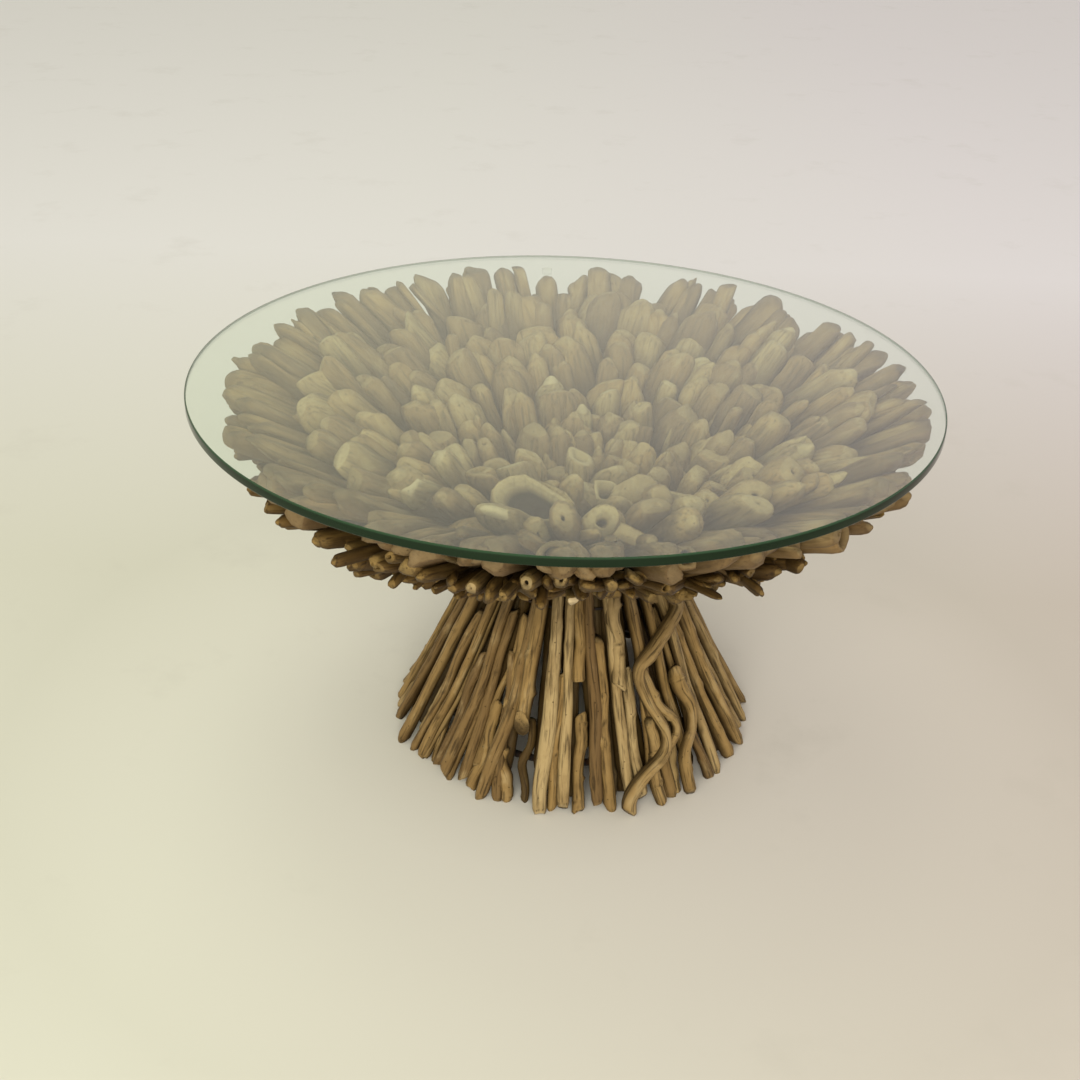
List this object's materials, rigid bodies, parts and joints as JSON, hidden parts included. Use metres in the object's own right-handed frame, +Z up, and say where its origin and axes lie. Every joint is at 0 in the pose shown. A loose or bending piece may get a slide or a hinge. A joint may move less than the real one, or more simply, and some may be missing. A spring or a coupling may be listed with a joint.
{
  "type": "driftwood side table",
  "caption": "Low round side table: a loose glass disc lies on a dished bowl of radiating driftwood chunks above a flared pedestal of leaning driftwood sticks.",
  "frame": {"origin": "on the floor under the middle of the glass", "axes": "+Z up from the floor to the glass; +Y from the pictured front to the back; +X to the right"},
  "size_m": [0.8, 0.8, 0.436],
  "materials": {
    "glass": "clear float glass, polished edge that shows dark green",
    "driftwood": "weathered tan-brown driftwood, rounded ends, dry and matt",
    "stick_wood": "peeled driftwood sticks, ochre tan with knots and dark streaks",
    "dark_steel": "dark painted steel rod, slightly rough",
    "clear_pad": "clear soft silicone"
  },
  "bodies": {
    "base": {"rim_row": "driftwood", "dish_row_1": "driftwood", "dish_row_2": "driftwood", "dish_row_3": "driftwood", "dish_row_4": "driftwood", "dish_row_5": "driftwood", "centre_row": "driftwood", "under_row_1": "driftwood", "under_row_2": "driftwood", "under_row_3": "driftwood", "under_row_4": "driftwood", "collar_row": "driftwood", "hub_disc": "driftwood", "inner_sticks": "stick_wood", "outer_stick_01": "stick_wood", "outer_stick_02": "stick_wood", "outer_stick_03": "stick_wood", "outer_stick_04": "stick_wood", "outer_stick_05": "stick_wood", "outer_stick_06": "stick_wood", "outer_stick_07": "stick_wood", "outer_stick_08": "stick_wood", "outer_stick_09": "stick_wood", "outer_stick_10": "stick_wood", "outer_stick_11": "stick_wood", "outer_stick_12": "stick_wood", "outer_stick_13": "stick_wood", "outer_stick_14": "stick_wood", "outer_stick_15": "stick_wood", "outer_stick_16": "stick_wood", "outer_stick_17": "stick_wood", "outer_stick_18": "stick_wood", "outer_stick_19": "stick_wood", "outer_stick_20": "stick_wood", "outer_stick_22": "stick_wood", "outer_stick_23": "stick_wood", "outer_stick_24": "stick_wood", "outer_stick_25": "stick_wood", "outer_stick_26": "stick_wood", "outer_stick_27": "stick_wood", "outer_stick_28": "stick_wood", "short_stub": "stick_wood", "branch_long": "stick_wood", "branch_short": "stick_wood", "rib_1": "dark_steel", "rib_2": "dark_steel", "rib_3": "dark_steel", "rib_4": "dark_steel", "rib_5": "dark_steel", "rib_6": "dark_steel", "base_hoop": "dark_steel", "neck_hoop": "dark_steel", "rim_hoop": "dark_steel", "tie_hoop": "dark_steel", "glass_pad_1": "clear_pad", "glass_pad_2": "clear_pad", "glass_pad_3": "clear_pad", "glass_pad_4": "clear_pad"},
    "glass": {"glass_top": "glass"}
  },
  "joints": [
    {"name": "glass_lift", "type": "slide", "parent": "base", "child": "glass", "axis": [0, 0, 1], "range_m": [0, 0.15]}
  ]
}
